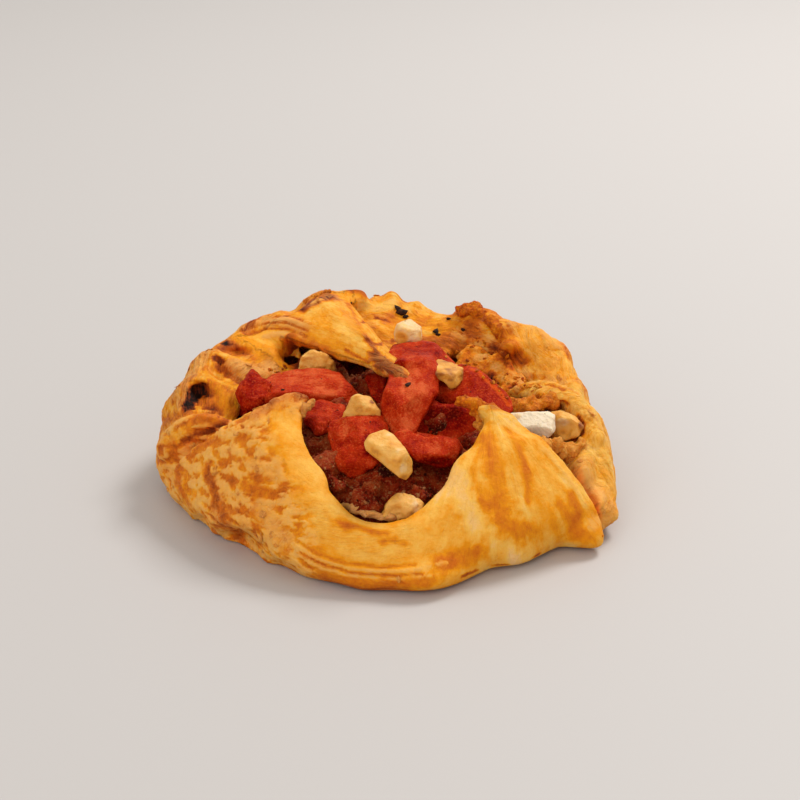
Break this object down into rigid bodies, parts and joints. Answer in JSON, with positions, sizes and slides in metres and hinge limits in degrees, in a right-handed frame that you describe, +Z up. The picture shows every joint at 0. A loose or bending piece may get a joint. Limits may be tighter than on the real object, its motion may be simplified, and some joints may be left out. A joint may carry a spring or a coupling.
{
  "type": "savory danish pastry",
  "caption": "Round savoury danish of laminated dough folded over minced meat, topped with tomato pieces and cheese cubes.",
  "frame": {"origin": "on the flat underside, below the middle of the pastry's box", "axes": "+Z up out of the filling, -Y towards the low front of the rim, +X to the right of that view"},
  "size_m": [0.1138, 0.1114, 0.0365],
  "materials": {
    "baked_dough": "baked laminated dough, golden with browned ridges, satin egg-washed crust",
    "minced_meat": "minced meat in tomato sauce, dark red-brown, moist",
    "cooked_tomato": "oven-softened tomato flesh, salmon red, moist sheen",
    "white_cheese": "white brined cheese, cream, toasted golden at the corners"
  },
  "bodies": {
    "root": {"pastry": "baked_dough", "filling": "minced_meat", "tomato_left": "cooked_tomato", "tomato_middle": "cooked_tomato", "tomato_right": "cooked_tomato", "tomato_hollow": "cooked_tomato", "tomato_front": "cooked_tomato", "tomato_behind": "cooked_tomato", "tomato_back": "cooked_tomato", "tomato_bit_left": "cooked_tomato", "tomato_bit_front": "cooked_tomato", "cheese_back": "white_cheese", "cheese_top": "white_cheese", "cheese_middle": "white_cheese", "cheese_front": "white_cheese", "cheese_right": "white_cheese", "cheese_low": "white_cheese", "cheese_left": "white_cheese", "cheese_pocket": "white_cheese"}
  },
  "joints": []
}
